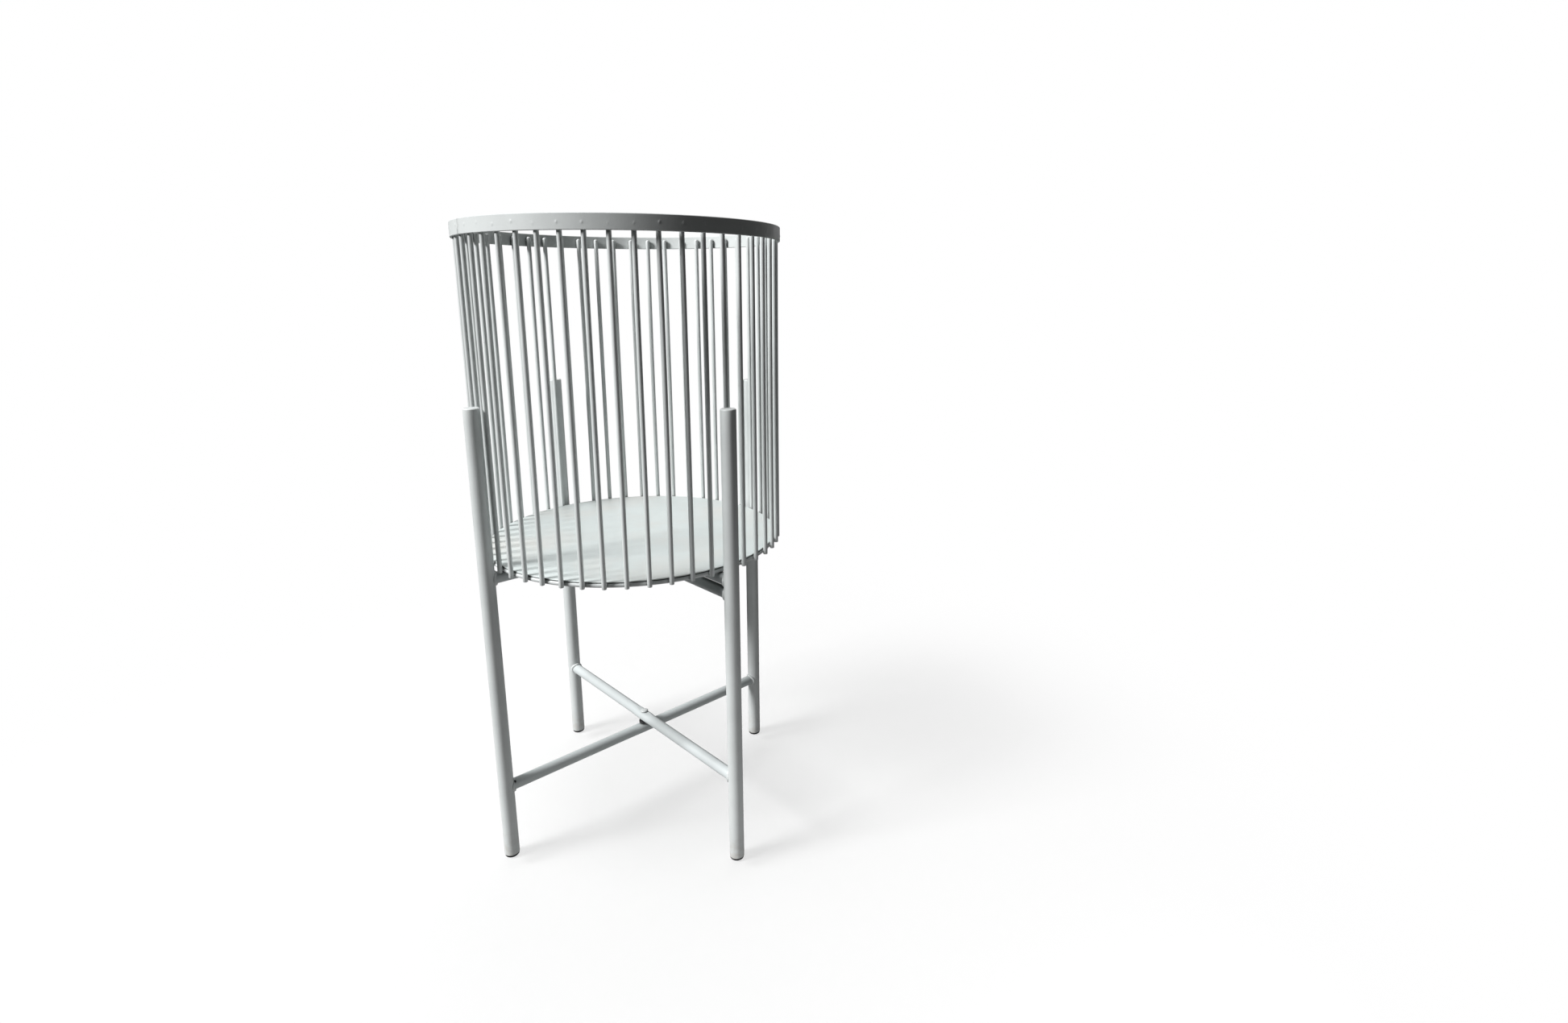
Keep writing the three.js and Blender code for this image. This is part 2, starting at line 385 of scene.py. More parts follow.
def powder_coat(
    name, coat=COAT, dark_specks=0.05, dusty=False, drawn=None, rough=(0.36, 0.48), stain=None, crevice_shade_reach=2.5 * MM
):
    """Satin powder coat: a faint mottle, orange peel, a few dark specks, thinner paint on sharp edges, and
    painted shade where pieces meet.

    drawn is the stretch and the depth of the faint lines that drawn or rolled metal shows under its
    paint. stain is the colour of large faint water marks. The last argument is how far from a crevice its
    painted shade reaches.
    """
    paint = Paint(name)
    paint.set(Metallic=0.0, IOR=1.5)
    mottle = paint.range(paint.noise(MOTTLE_SCALE, 4, 0.6), 0.35, 0.65)
    colour = paint.mix(mottle, coat, darker(coat))
    blotch = paint.range(paint.noise(BLOTCH_SCALE, 3, 0.55), 0.58, 0.72, 0, 0.35)
    colour = paint.mix(blotch, colour, coat)
    if stain:
        marks = paint.range(paint.noise(WATER_MARK_SCALE, 3, 0.5), 0.48, 0.68, 0, 0.7)
        colour = paint.mix(marks, colour, stain)
    colour = paint.mix(worn_edge(paint), colour, COAT_WORN)
    # A few small dark specks in the coat.
    colour = paint.mix(paint.specks(SPECK_SPACING, SPECK_SIZE, dark_specks), colour, DARK_SPECK_AND_PINHOLE_SHADE)
    # Painted shade: the colour darkens towards near black where pieces meet, by ambient occlusion.
    colour = paint.mix(paint.painted_shade_in_crevices(crevice_shade_reach), colour, PAINTED_SHADE_IN_CREVICES)
    if dusty:
        colour = paint.mix(dust_on_legs(paint), colour, DUST)
    paint.colour(colour)
    paint.roughness(paint.range(paint.noise(SHEEN_SCALE, 3), 0.3, 0.7, *rough))
    layers = [(paint.noise(PEEL_SCALE, 1.5), PEEL_DEPTH), (paint.noise(GRAIN_SCALE, 1), GRAIN_DEPTH)]
    if drawn:
        *stretch, depth = drawn
        layers.append((paint.noise(DRAWN_SCALE, 2, vector=paint.stretched(*stretch)), depth))
    paint.bump(layers)
    return paint.material


def weld_coat(name):
    """Powder coat over a weld: the same paint, over ripples and pinholes, with painted shade in the
    pinholes.
    """
    paint = Paint(name)
    paint.set(Metallic=0.0, IOR=1.5)
    mottle = paint.range(paint.noise(WELD_MOTTLE_SCALE, 4, 0.6), 0.35, 0.65)
    colour = paint.mix(mottle, COAT, darker(COAT))
    pinholes = paint.specks(PINHOLE_SPACING, PINHOLE_SIZE, 0.16)
    # Painted shade: the pinholes are coloured near black, besides being sunk by the bump below.
    paint.colour(paint.mix(pinholes, colour, DARK_SPECK_AND_PINHOLE_SHADE))
    paint.roughness(paint.range(paint.noise(WELD_SHEEN_SCALE, 2), 0.3, 0.7, 0.34, 0.5))
    sunk = paint.maths("MULTIPLY", pinholes, -1.0)
    paint.bump([(paint.noise(WELD_RIPPLE_SCALE, 3, 0.6), RIPPLE_DEPTH), (sunk, PINHOLE_DEPTH)])
    return paint.material


def black_plastic(name):
    """Moulded black plastic with a fine spark-eroded grain, scuffed lighter where it meets the floor."""
    paint = Paint(name)
    paint.set(Metallic=0.0, IOR=1.46)
    cloudy = paint.range(paint.noise(PLASTIC_CLOUD_SCALE, 3), 0.35, 0.65)
    colour = paint.mix(cloudy, PLASTIC, PLASTIC_CLOUD)
    scuffs = paint.range(paint.noise(PLASTIC_SCUFF_SCALE, 5, 0.7), 0.56, 0.68, 0, 0.5)
    low = paint.range(paint.height(), 0.0, SCUFF_HEIGHT, 1, 0)
    colour = paint.mix(paint.maths("MULTIPLY", scuffs, low), colour, PLASTIC_SCUFF)
    paint.colour(colour)
    paint.roughness(paint.range(paint.noise(PLASTIC_SHEEN_SCALE, 3), 0.3, 0.7, 0.45, 0.62))
    paint.bump([(paint.noise(PLASTIC_GRAIN_SCALE, 2), PLASTIC_GRAIN_DEPTH)])
    return paint.material


tube_coat = powder_coat("tube_coat", dusty=True, drawn=(30, 30, 0.6, DRAWN_DEPTH))
# The bars wear the darker copy of the coat as painted shade, and their painted shade where pieces meet
# reaches further.
shaded_bar_coat = powder_coat("shaded_bar_coat", SHADED_BAR_COAT, crevice_shade_reach=5 * MM)
wire_coat = powder_coat("wire_coat", drawn=(40, 40, 1.0, DRAWN_DEPTH))
strip_coat = powder_coat("strip_coat", dark_specks=0.09)
sheet_coat = powder_coat(
    "sheet_coat",
    SHEET_COAT,
    dark_specks=0.03,
    drawn=(1, 12, 1, ROLLED_DEPTH),
    rough=(0.32, 0.44),
    stain=WATER_MARK,
)
bead_coat = weld_coat("bead_coat")
fastener_coat = powder_coat("fastener_coat", dark_specks=0.15)
moulded_black = black_plastic("moulded_black")


# ---------------------------------------------------------------- the two leg frames

LEG_MM = LEG_RADIUS / MM
LEG_SIDES = 72
CENTRE = 0.01  # a radius next to nothing, in millimetres, where a profile meets its axis


def leg(corner):
    """A leg tube with a welded-on closed top, ground to a soft edge, and its open lower end."""
    low = leg_low.z / MM
    top = leg_high.z / MM
    inside = LEG_MM - TUBE_WALL / MM
    plug_reach = 5
    burr = 0.25
    top_edge = 1.3
    crown = 0.25
    profile = [(CENTRE, low + plug_reach), (inside, low + plug_reach), (inside, low + 0.2)]
    profile += [(inside + 0.2, low), (LEG_MM - burr, low), (LEG_MM, low + burr)]
    profile += [(LEG_MM, height) for height in steps(low + 10, top - 12, 12)]
    profile += arc(LEG_MM - top_edge, top - crown - top_edge, top_edge, 0, 90, 7)
    profile += [(LEG_MM * 0.5, top - crown * 0.3), (CENTRE, top)]
    bm = bmesh.new()
    place = middle("leg_" + corner)
    turned(bm, Vector((place.x, place.y, 0)), profile, LEG_SIDES)
    name = "leg_tube_" + corner
    add_piece(name, bm, tube_coat, CORNERS[corner], ["leg_" + corner])


def foot(corner):
    """A moulded glide: a thin domed flange under the tube, with a small recess below and a stem inside."""
    node = "foot_" + corner
    flange = (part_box(node)[1].x - middle(node).x) / MM
    under_tube = leg_low.z / MM - 0.02
    stem = flange - 1.2
    stem_reach = 4
    dome = 1.5
    soft = 0.15
    profile = [(CENTRE, 0.5), (1.3, 0.5), (1.5, 0.0), (flange - dome, 0.0)]
    profile += arc(flange - dome, dome, dome, -80, 0, 6)
    profile += [(flange, under_tube - soft), (flange - soft, under_tube)]
    profile += [(stem, under_tube), (stem, under_tube + stem_reach), (CENTRE, under_tube + stem_reach)]
    bm = bmesh.new()
    place = middle(node)
    turned(bm, Vector((place.x, place.y, 0)), profile)
    add_piece("glide_" + corner, bm, moulded_black, CORNERS[corner], [node])


SEAT_HALF_LENGTH = 9 * MM  # of the pressed flat at a crossing, on either side of the bolt
SEAT_PRESS = 0.45 * MM  # that the press takes off the top and off the bottom
SEAT_SPREAD = 0.5 * MM  # that it adds to each side
BAR_SIDES = 48
BAR_INTO_LEG = 0.4 * MM  # so that the bar's end is inside the weld
SEAT_SHARES = (0.15, 0.16)  # of a bar's reach: where its close rings end, and where the wide ones start


def pressed(along):
    """How far a bar is pressed flat at a distance from the crossing: 1 at the bolt, 0 further out."""
    share = max(0.0, min(1.0, 1.6 - abs(along) / SEAT_HALF_LENGTH))
    return share * share * (3 - 2 * share)


def bar_ring(direction, height, radius, share, flat=True):
    """A ring of points round a bar at a share of its reach, curved so that the last one fits the leg."""
    ring = []
    for i in range(BAR_SIDES):
        angle = 2 * math.pi * i / BAR_SIDES
        across = radius * math.cos(angle)
        up = radius * math.sin(angle)
        along = share * (LEG_CIRCLE - math.sqrt(LEG_RADIUS**2 - across**2) + BAR_INTO_LEG)
        press = pressed(along) if flat else 0
        across *= 1 + press * SEAT_SPREAD / radius
        seat = radius - press * SEAT_PRESS
        up = max(-seat, min(seat, up))
        ring.append(placed(direction, along, across, height + up))
    return ring


def cross_bar(node):
    """A bar from leg to leg, pressed to a short flat where the pivot bolt goes through."""
    near, far = BARS[node]
    direction = bearing(middle("leg_" + near))
    height = middle(node).z
    close, wide = SEAT_SHARES
    ends = steps(-1, -wide, 10)
    centre = steps(-close, close, 41)
    shares = ends + centre + [-share for share in reversed(ends)]
    bm = bmesh.new()
    loft(bm, [bar_ring(direction, height, BAR_RADIUS, share) for share in shares])
    add_piece(node + "_tube", bm, shaded_bar_coat, CORNERS[near], [node])


def rest_stub(node):
    """A short open tube on an inner leg, as high as the outer frame's bar."""
    corner = STUBS[node]
    direction = bearing(middle("leg_" + corner))
    height = middle(node).z
    low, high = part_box(node)
    near_x = min(abs(low.x), abs(high.x))
    near_y = min(abs(low.y), abs(high.y))
    inner_end = (math.hypot(near_x, near_y) + BAR_RADIUS) / (LEG_CIRCLE - LEG_RADIUS)
    # Shares of the reach to the leg, with how far each ring is set in from the tube's outside.
    outside = [(1, 0.0), (inner_end + 0.03, 0.0), (inner_end + 0.004, 0.0), (inner_end, 0.25 * MM)]
    inside = [(inner_end, TUBE_WALL - 0.2 * MM), (inner_end + 0.003, TUBE_WALL), (0.995, TUBE_WALL)]
    bm = bmesh.new()
    rings = []
    for share, inset in outside + inside:
        rings.append(bar_ring(direction, height, BAR_RADIUS - inset, share, flat=False))
    loft(bm, rings)
    add_piece(node + "_tube", bm, shaded_bar_coat, CORNERS[corner], [node])


BEAD_SIZE = 1.5 * MM
BEAD_RINGS = 96
BEAD_SIDES = 14
UNGROUND = 1.0  # a height above everything
GROUND_ABOVE = 0.1 * MM  # how far a ground bead stands above its bar


def weld_bead(name, corner, height, seed, ground_to=UNGROUND):
    """A lumpy fillet of weld round the line where a bar meets its leg, ground level at a height."""
    direction = bearing(middle("leg_" + corner))
    rings = []
    for i in range(BEAD_RINGS):
        angle = 2 * math.pi * i / BEAD_RINGS
        across = BAR_RADIUS * math.cos(angle)
        along = LEG_CIRCLE - math.sqrt(LEG_RADIUS**2 - across**2)
        line = placed(direction, along, across, height + BAR_RADIUS * math.sin(angle))
        outwards = placed(direction, 0, math.cos(angle), math.sin(angle))
        inwards = placed(direction, -1, 0, 0)
        wander = Vector((math.cos(angle), math.sin(angle), seed))
        swell = 1 + 0.30 * noise.noise(wander * 1.3) + 0.12 * noise.noise(wander * 6)
        reach = BEAD_SIZE * swell
        ring = []
        for j in range(BEAD_SIDES):
            turn = 2 * math.pi * j / BEAD_SIDES
            point = line + outwards * reach * math.sin(turn) + inwards * reach * 1.05 * math.cos(turn)
            point.z = min(point.z, ground_to)
            ring.append(point)
        rings.append(ring)
    bm = bmesh.new()
    loft(bm, rings, around=True)
    add_piece(name, bm, bead_coat, CORNERS[corner])


# Where the black lump sits that stands in for the shade inside a hole in a weld, and its size.
PINHOLE_AROUND = 48  # degrees round the bar's end
PINHOLE_HALF_SIZES = (0.9 * MM, 0.9 * MM, 1.4 * MM)
PINHOLE_OUT = 1.0 * MM  # from the bar's surface
PINHOLE_IN = 0.9 * MM  # from the leg's surface


def pinhole_shade(corner, height):
    """A black lump in a hole that the weld left open, beside the line where a bar meets its leg: painted
    shade for the hole's dark inside.
    """
    angle = math.radians(PINHOLE_AROUND)
    reach = BAR_RADIUS + PINHOLE_OUT
    across = reach * math.cos(angle)
    along = LEG_CIRCLE - math.sqrt(LEG_RADIUS**2 - (across * 0.8) ** 2) - PINHOLE_IN
    direction = bearing(middle("leg_" + corner))
    centre = placed(direction, along, across, height + reach * math.sin(angle))
    bm = bmesh.new()
    lump(bm, centre, PINHOLE_HALF_SIZES, 5)
    add_piece("weld_pinhole_shade_" + corner, bm, moulded_black, CORNERS[corner])


for corner in CORNERS:
    leg(corner)
    foot(corner)
for node in BARS:
    cross_bar(node)
for node in STUBS:
    rest_stub(node)
for seed, (node, corners) in enumerate(BARS.items()):
    for corner in corners:
        level = "lower" if "lower" in node else "upper"
        weld_bead(f"weld_{level}_{corner}", corner, middle(node).z, seed + len(corner))
for seed, (node, corner) in enumerate(STUBS.items()):
    # The basket's wires pass close over these beads when the frame folds.
    height = middle(node).z
    weld_bead("weld_stub_" + corner, corner, height, 20 + seed, height + BAR_RADIUS + GROUND_ABOVE)
pinhole_shade("front_left", middle("outer_lower_bar").z)


# ---------------------------------------------------------------- the pivots

# Radii and heights in millimetres, from the axis and from where each piece sits.
BOLT_HOLE = 2.6  # of the pieces that the bolt goes through
BOLT_HEAD = [
    (2.7, 0.0),
    (2.8, 0.35),
    (3.55, 0.4),
    (3.6, 0.5),
    (3.6, 0.9),
    (3.4, 1.25),
    (2.8, 1.6),
    (1.7, 1.85),
    (CENTRE, 1.95),
]
INSERT_SLEEVE = 3.5
INSERT_DEPTH = 5.5
INSERT_FLANGE = 4.7
SPACER_RADIUS = 5.6
FLANGE_HEIGHT = 0.8
PIVOT_SIDES = 56


def bolt(name, body, seat, end):
    """A pivot bolt: a smooth low head, undercut where it meets the bar, and a plain shank."""
    top = seat / MM
    low = end / MM
    shank = BOLT_RADIUS / MM
    chamfer = 0.4
    profile = [(CENTRE, low), (shank - chamfer, low), (shank, low + chamfer), (shank, top)]
    profile += [(radius, top + height) for radius, height in BOLT_HEAD]
    bm = bmesh.new()
    turned(bm, Vector(), profile, PIVOT_SIDES)
    add_piece(name + "_pan_bolt", bm, fastener_coat, body, [name + "_bolt"])


def soft_rim(radius, base, top, soft):
    """The outside of a washer with rounded edges, as [radius, height] pairs in millimetres."""
    pairs = arc(radius - soft, base + soft, soft, -90, 0, 4)
    return pairs + arc(radius - soft, top - soft, soft, 0, 90, 4)


def insert(name, body, base, top):
    """A threaded insert: a sleeve down into the bar, and a thin flange on it."""
    low = base / MM
    high = top / MM
    soft = 0.3
    profile = [(BOLT_HOLE, low - INSERT_DEPTH), (INSERT_SLEEVE, low - INSERT_DEPTH), (INSERT_SLEEVE, low)]
    profile += soft_rim(INSERT_FLANGE, low, high, soft)
    profile += [(BOLT_HOLE + soft, high), (BOLT_HOLE, high - soft)]
    bm = bmesh.new()
    turned(bm, Vector(), profile, PIVOT_SIDES, around=True)
    add_piece(name + "_threaded_insert", bm, fastener_coat, body, [name + "_insert"])


def spacer(name, body, base, top):
    """A black plastic washer that the higher bar turns on."""
    low = base / MM
    high = top / MM
    profile = [(BOLT_HOLE, low)] + soft_rim(SPACER_RADIUS, low, high, 0.35) + [(BOLT_HOLE, high)]
    bm = bmesh.new()
    turned(bm, Vector(), profile, around=True)
    add_piece(name + "_black_washer", bm, moulded_black, body, [name + "_spacer"])


def pivot(name):
    """A bolt down through the higher bar, the washer under that bar, and the insert in the lower bar."""
    higher, lower, body = PIVOTS[name]
    half = BAR_RADIUS - SEAT_PRESS
    lower_top = middle(lower).z + half
    flange_top = lower_top + FLANGE_HEIGHT * MM
    bolt(name, body, middle(higher).z + half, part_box(name + "_bolt")[0].z)
    insert(name, body, lower_top, flange_top)
    spacer(name, body, flange_top, middle(higher).z - half)


for name in PIVOTS:
    pivot(name)


# ---------------------------------------------------------------- the basket

SEAM_BEARING = 221.0  # where the ends of the rim strip are welded together
BAND_HEIGHT = RIM_HIGH.z - RIM_LOW.z
BAND_CORNER = 0.45 * MM
BAND_WAVE = 0.12 * MM  # how far the rolled strip wanders in and out
BAND_STEPS = 18  # up its outside
MARK_RISE = 0.35 * MM  # of a weld mark, at most
MARK_WIDTH = 0.9 * MM
MARK_STRENGTHS = (0.2, 1.0)
MARK_PLACES = (0.38, 0.62)  # up the band
SEAM_RISE = 0.13 * MM
SEAM_WIDTH = 1.6 * MM
SLIT_DEPTH = 1.2 * MM  # of the short gap at the foot of the seam
SLIT_WIDTH = 0.45 * MM
SLIT_HEIGHT = 3 * MM
MARK_OFFSETS = (-1.4, -0.95, -0.6, -0.3, 0, 0.3, 0.6, 0.95, 1.4)  # millimetres, of the close sections
PLAIN_SECTIONS = 6  # between one wire and the next


def near_angle(degrees, target):
    """How far a bearing is from another, in degrees, between -180 and 180."""
    return (degrees - target + 180) % 360 - 180


def round_rim(degrees, target):
    """How far a bearing is from another along the outside of the rim, in metres."""
    return math.radians(near_angle(degrees, target)) * RIM_RADIUS


def bump_shape(distance, width):
    """A smooth bump: 1 at no distance, and almost 0 from twice its width."""
    return math.exp(-((distance / width) ** 2))


def weld_mark(number):
    """How much a wire's spot weld shows on the outside of the strip, and how high up it is."""
    rng = random.Random(number)
    strength = rng.uniform(*MARK_STRENGTHS)
    return strength, RIM_LOW.z + rng.uniform(*MARK_PLACES) * BAND_HEIGHT


def rim_section(degrees):
    """The strip's cross-section at a bearing, in metres, with its seam and weld marks."""
    low = RIM_LOW.z
    high = RIM_HIGH.z
    turn = math.radians(degrees)
    wave = BAND_WAVE * noise.noise(Vector((math.cos(turn) * 3, math.sin(turn) * 3, 4)))
    inner = RIM_RADIUS - BAND_THICKNESS + wave
    outer = RIM_RADIUS - MARK_RISE + wave
    from_seam = round_rim(degrees, SEAM_BEARING)
    ridge = bump_shape(from_seam, SEAM_WIDTH)
    gap = bump_shape(from_seam, SLIT_WIDTH)
    number = round((degrees - FIRST_WIRE) / WIRE_STEP)
    from_wire = round_rim(degrees, FIRST_WIRE + number * WIRE_STEP)
    strength, mark_height = weld_mark(number % WIRE_COUNT)

    def outside(height):
        mark = strength * bump_shape(from_wire, MARK_WIDTH) * bump_shape(height - mark_height, MARK_WIDTH)
        slit = gap * bump_shape(max(0.0, height - low - SLIT_HEIGHT), 0.8 * MM)
        bulge = ridge * SEAM_RISE + mark * MARK_RISE - slit * SLIT_DEPTH
        return min(RIM_RADIUS, outer + bulge)

    points = [(inner + BAND_CORNER, low), (outside(low) - BAND_CORNER, low)]
    for height in steps(low + BAND_CORNER, high - BAND_CORNER, BAND_STEPS):
        points.append((outside(height), height))
    points.append((outside(high) - BAND_CORNER, high))
    points.append((inner + BAND_CORNER, high))
    for height in steps(high - BAND_CORNER, low + BAND_CORNER, 5):
        points.append((inner - ridge * 0.1 * MM, height))
    return points


def rim_bearings():
    """Bearings round the strip, in order: even ones, and closer ones over each weld mark and the seam."""
    per_metre = 360 / (2 * math.pi * RIM_RADIUS)
    plain_step = WIRE_STEP / PLAIN_SECTIONS
    bearings = [FIRST_WIRE + plain_step * (i + 0.5) for i in range(WIRE_COUNT * PLAIN_SECTIONS)]
    centres = [FIRST_WIRE + WIRE_STEP * number for number in range(WIRE_COUNT)] + [SEAM_BEARING]
    for centre in centres:
        for offset in MARK_OFFSETS:
            bearings.append(centre + offset * MM * per_metre)
    return sorted(bearing % 360 for bearing in bearings)


def rim():
    """The rolled strip: a soft-edged band, welded end to end, on which the wires' welds show through."""
    rings = []
    for degrees in rim_bearings():
        rings.append([placed(degrees, radius, 0, height) for radius, height in rim_section(degrees)])
    bm = bmesh.new()
    loft(bm, rings, around=True)
    add_piece("rim_strip", bm, strip_coat, "basket", ["rim_band"])


WIRE_SIDES = 20
BOW_OUTWARDS = (-0.35, 0.15)  # millimetres, the range of the wires' bows
BOW_SIDEWAYS = (-0.45, 0.45)
SHEARED_END = [(0.0, 0.82), (0.12 * MM, 0.93), (0.45 * MM, 1.0)]  # heights, and shares of the radius


def wire(number):
    """One upright wire, with a rounded top, a sheared lower end and a very slight bow."""
    degrees = FIRST_WIRE + WIRE_STEP * number
    outwards = random.uniform(*BOW_OUTWARDS) * MM
    sideways = random.uniform(*BOW_SIDEWAYS) * MM
    low = WIRE_LOW.z
    length = WIRE_HIGH.z - low
    body = [(distance, 1.0) for distance in steps(6 * MM, length - 6 * MM, 18)]
    crown = []
    for angle in steps(0, math.radians(84), 6):
        crown.append((length - WIRE_RADIUS * 0.8 * (1 - math.sin(angle)), math.cos(angle)))
    rings = []
    for distance, share in SHEARED_END + body + crown:
        bow = math.sin(math.pi * distance / length)
        centre = placed(degrees, WIRE_CIRCLE + outwards * bow, sideways * bow, low + distance)
        rings.append(circle(centre, WIRE_RADIUS * share, WIRE_SIDES))
    bm = bmesh.new()
    loft(bm, rings)
    key = number % KEY_WIRE_STEP == 0
    node = "foot_ring_and_key_wires" if key else f"wire_{number + 1:02d}"
    add_piece(f"basket_wire_{number + 1:02d}", bm, wire_coat, "basket", [node])


RING_SECTIONS = 288
RING_SIDES = 18
RING_WELD_BEARING = 101
RING_WELD_SWELL = 0.12  # of the wire's radius
RING_WELD_WIDTH = 1.8 * MM
RING_BELOW_DISC = 0.3 * MM


def foot_ring():
    """The round wire hoop inside the wires' lower ends, with its butt weld."""
    rings = []
    height = RING_HIGH - RING_BELOW_DISC - WIRE_RADIUS
    for i in range(RING_SECTIONS):
        degrees = 360 * i / RING_SECTIONS
        from_weld = near_angle(degrees, RING_WELD_BEARING) / 360 * 2 * math.pi * RING_CIRCLE
        section = WIRE_RADIUS * (1 + RING_WELD_SWELL * bump_shape(from_weld, RING_WELD_WIDTH))
        ring = []
        for j in range(RING_SIDES):
            angle = 2 * math.pi * j / RING_SIDES
            radius = RING_CIRCLE + section * math.cos(angle)
            ring.append(placed(degrees, radius, 0, height + section * math.sin(angle)))
        rings.append(ring)
    bm = bmesh.new()
    loft(bm, rings, around=True)
    add_piece("foot_ring", bm, wire_coat, "basket", ["foot_ring_and_key_wires"])


WELD_ROUGHNESS = 0.35
RING_WELD_SIZES = (1.5 * MM, 1.5 * MM, 1.3 * MM)
RIM_WELDS = [(WIRE_HIGH.z - 3.5 * MM, 1.4), (RIM_LOW.z + 1.6 * MM, 1.1)]  # heights, and half widths in mm
RIM_WELD_HEIGHT = 1.7 * MM  # half of it


def wire_welds():
    """The small welds of all the wires: one on the foot ring, and two inside the rim strip."""
    to_ring = bmesh.new()
    to_rim = bmesh.new()
    grip = RIM_RADIUS - BAND_THICKNESS - 0.5 * MM
    for number in range(WIRE_COUNT):
        degrees = FIRST_WIRE + WIRE_STEP * number
        low = placed(degrees, WIRE_CIRCLE - WIRE_RADIUS, 0, RING_HIGH - 1.9 * MM)
        lump(to_ring, low, RING_WELD_SIZES, number * 1.3, WELD_ROUGHNESS)
        for height, size in RIM_WELDS:
            sizes = (size * MM, size * MM, RIM_WELD_HEIGHT)
            lump(to_rim, placed(degrees, grip, 0, height), sizes, number * 2.1 + size, WELD_ROUGHNESS)
    add_piece("foot_ring_welds", to_ring, bead_coat, "basket")
    add_piece("rim_welds", to_rim, bead_coat, "basket")


DISC_SHARES = (0.004, 0.06, 0.15, 0.25, 0.35, 0.45, 0.55, 0.65, 0.75, 0.84, 0.92, 0.97, 1)  # of its radius
DISC_SIDES = 192
DISC_EDGE = 0.3 * MM
DISC_WAVE = 0.22 * MM
DISC_WAVE_SCALE = 14
DISC_SINK = 0.05 * MM
DISC_UNDERSIDE = DISC_LOW.z + 0.2 * MM


def floor_disc():
    """The loose sheet floor: thin, with a sheared edge and the slight waves of thin sheet."""
    radius = DISC_HIGH.x
    reaches = [share * (radius - DISC_EDGE) for share in DISC_SHARES]

    def level(reach, base):
        ring = []
        for point in circle(Vector(), reach, DISC_SIDES):
            flatter = 1 - (reach / radius) ** 6
            wave = DISC_WAVE * noise.noise(point * DISC_WAVE_SCALE) * flatter
            ring.append(point + Vector((0, 0, base + min(0.0, wave - DISC_SINK))))
        return ring

    rings = [level(reach, DISC_UNDERSIDE) for reach in reaches]
    rings.append(level(radius, DISC_LOW.z + DISC_EDGE))
    rings.append(level(radius, DISC_HIGH.z - DISC_EDGE))
    rings += [level(reach, DISC_HIGH.z) for reach in reversed(reaches)]
    bm = bmesh.new()
    loft(bm, rings)
    add_piece("floor_sheet", bm, sheet_coat, "basket", ["floor_disc"])


rim()
for number in range(WIRE_COUNT):
    wire(number)
foot_ring()
wire_welds()
floor_disc()


# ---------------------------------------------------------------- floor, light and camera

CAMERA_PLACE = Vector((0.1713, -0.7156, 0.5018))
CAMERA_TURN = 1.13  # degrees, to the left of straight ahead
CAMERA_TILT = 12.76  # degrees, downwards
FOCAL_LENGTH = 17.98
SHIFT = (-0.0100, -0.0287)
FLOOR_RADIUS = 0.8
FLOOR_TOP = -0.001
FLOOR_THICKNESS = 0.01
FLOOR_SIDES = 96
FLOOR_SHARE = 0.245  # how much of the floor shows over the white background, by the stand
FLOOR_GREY = 0.88
WORLD_STRENGTH = 0.006  # of the world's light on the object
LOW_LIGHT_PLACE = Vector((0.45, -0.4, 0.03))  # by the floor, to lift the shade on the legs' lower ends
LOW_LIGHT_TARGET = Vector((0, 0, 0.05))
BASKET_MIDDLE = Vector((0, 0, 0.3))  # which the lights stand round and point at


def floor():
    """A pale floor that thins out into the white background: it shows a light shadow and no horizon."""
    bm = bmesh.new()
    heights = (FLOOR_TOP - FLOOR_THICKNESS, FLOOR_TOP)
    loft(bm, [circle(Vector((0, 0, height)), FLOOR_RADIUS, FLOOR_SIDES) for height in heights])
    piece = bpy.data.objects.new("studio_floor", finish_mesh(bm, "studio_floor"))
    bpy.context.scene.collection.objects.link(piece)
    paint = Paint("studio_floor")
    paint.set(Base_Color=(FLOOR_GREY, FLOOR_GREY, FLOOR_GREY, 1), Roughness=0.9)
    distance = paint.tree.nodes.new("ShaderNodeVectorMath")
    distance.operation = "LENGTH"
    paint.link(paint.place, distance.inputs[0])
    share = paint.range(distance.outputs["Value"], 0, FLOOR_RADIUS, FLOOR_SHARE, 0, smooth=True)
    clear = paint.tree.nodes.new("ShaderNodeBsdfTransparent")
    blend = paint.tree.nodes.new("ShaderNodeMixShader")
    paint.link(share, blend.inputs["Fac"])
    paint.link(clear.outputs["BSDF"], blend.inputs[1])
    paint.link(paint.shader.outputs["BSDF"], blend.inputs[2])
    paint.link(blend.outputs["Shader"], paint.tree.nodes["Material Output"].inputs["Surface"])
    piece.data.materials.append(paint.material)


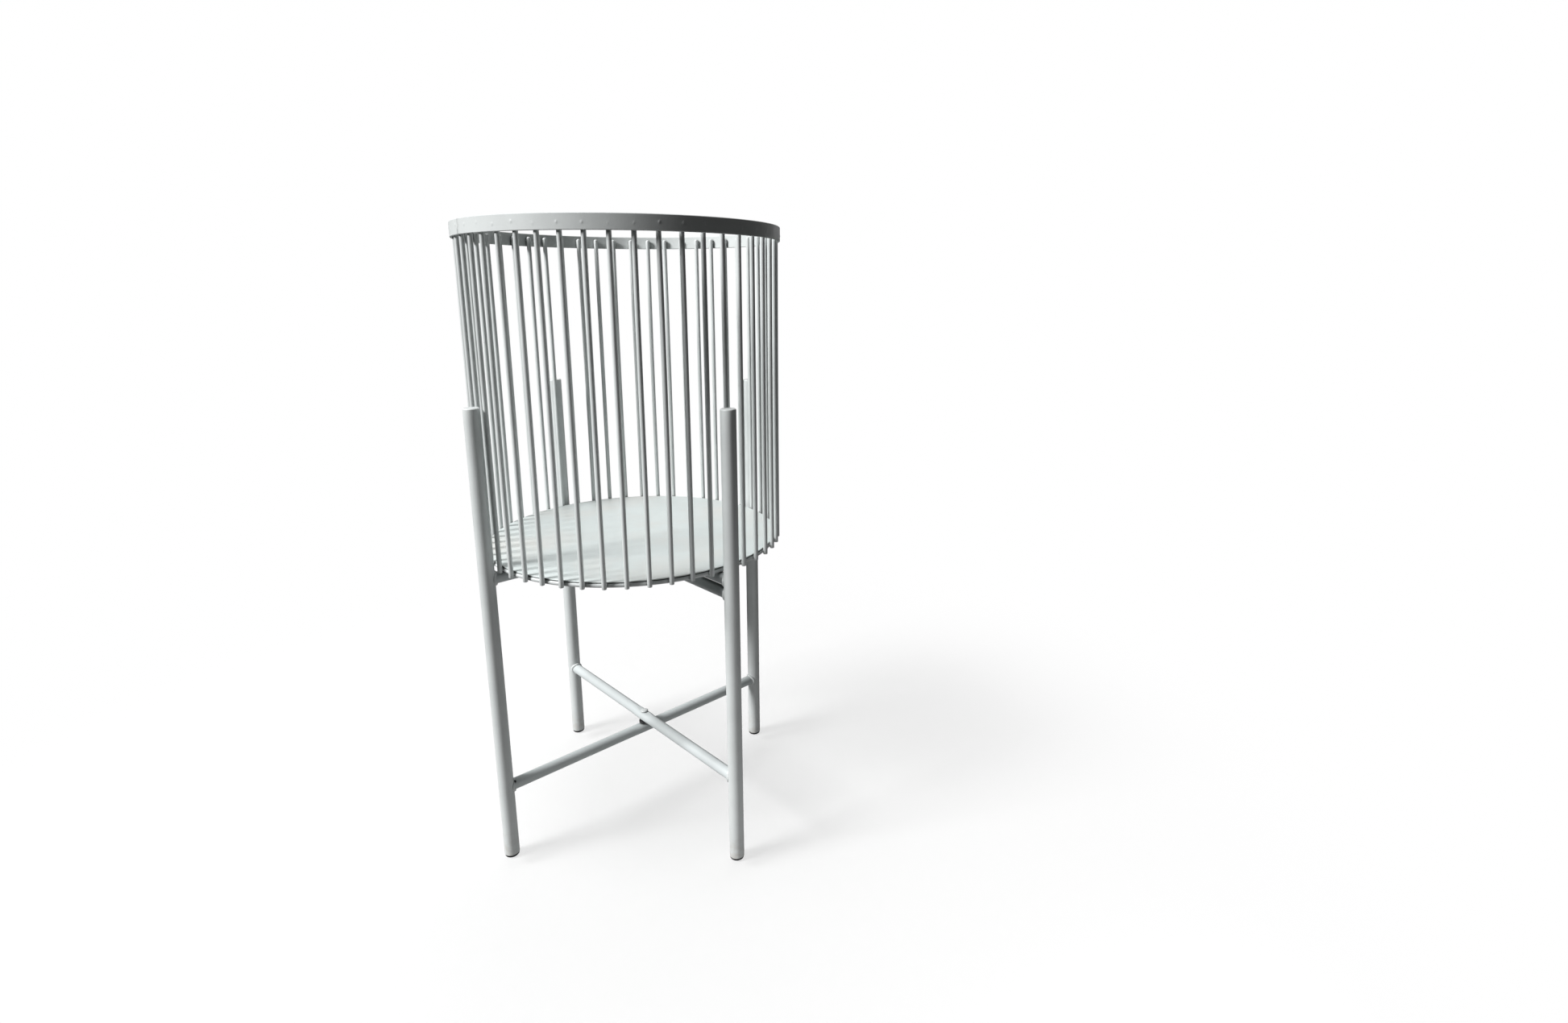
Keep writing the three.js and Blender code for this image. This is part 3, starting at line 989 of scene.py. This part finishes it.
def area_light(name, place, size, power, target=BASKET_MIDDLE):
    """A soft light at a place, with its two sizes in metres and its power in watts."""
    data = bpy.data.lights.new(name, "AREA")
    data.shape = "RECTANGLE"
    data.size, data.size_y = size
    data.energy = power
    light = bpy.data.objects.new(name, data)
    light.location = place
    light.rotation_mode = "QUATERNION"
    light.rotation_quaternion = (target - place).to_track_quat("-Z", "Y")
    bpy.context.scene.collection.objects.link(light)


def light_from(bearing_degrees, elevation, distance):
    """A place seen from the basket at a bearing and an elevation, both in degrees."""
    up = math.radians(elevation)
    height = BASKET_MIDDLE.z + distance * math.sin(up)
    return placed(bearing_degrees, distance * math.cos(up), 0, height)


def world():
    """A white background to the camera, and a dim even light on the object."""
    scene_world = bpy.data.worlds.new("studio")
    scene_world.use_nodes = True
    bpy.context.scene.world = scene_world
    tree = scene_world.node_tree
    tree.nodes.clear()
    seen = tree.nodes.new("ShaderNodeBackground")
    seen.inputs["Color"].default_value = (1, 1, 1, 1)
    felt = tree.nodes.new("ShaderNodeBackground")
    felt.inputs["Strength"].default_value = WORLD_STRENGTH
    path = tree.nodes.new("ShaderNodeLightPath")
    choose = tree.nodes.new("ShaderNodeMixShader")
    tree.links.new(path.outputs["Is Camera Ray"], choose.inputs["Fac"])
    tree.links.new(felt.outputs["Background"], choose.inputs[1])
    tree.links.new(seen.outputs["Background"], choose.inputs[2])
    out = tree.nodes.new("ShaderNodeOutputWorld")
    tree.links.new(choose.outputs["Shader"], out.inputs["Surface"])


def camera():
    data = bpy.data.cameras.new("camera")
    data.lens = FOCAL_LENGTH
    data.shift_x, data.shift_y = SHIFT
    data.clip_start = 0.01
    view = bpy.data.objects.new("camera", data)
    view.location = CAMERA_PLACE
    view.rotation_euler = (math.radians(90 - CAMERA_TILT), 0, math.radians(CAMERA_TURN))
    bpy.context.scene.collection.objects.link(view)
    bpy.context.scene.camera = view


floor()
area_light("key_light", light_from(208, 34, 5.0), (1.5, 1.5), 345)
area_light("top_light", light_from(210, 78, 4.0), (1.2, 1.2), 50)
area_light("back_light", light_from(80, 40, 3.0), (4.0, 4.0), 40)
area_light("low_light", LOW_LIGHT_PLACE, (0.3, 0.05), 0.36, LOW_LIGHT_TARGET)
world()
camera()
bpy.context.scene.view_settings.view_transform = "Standard"
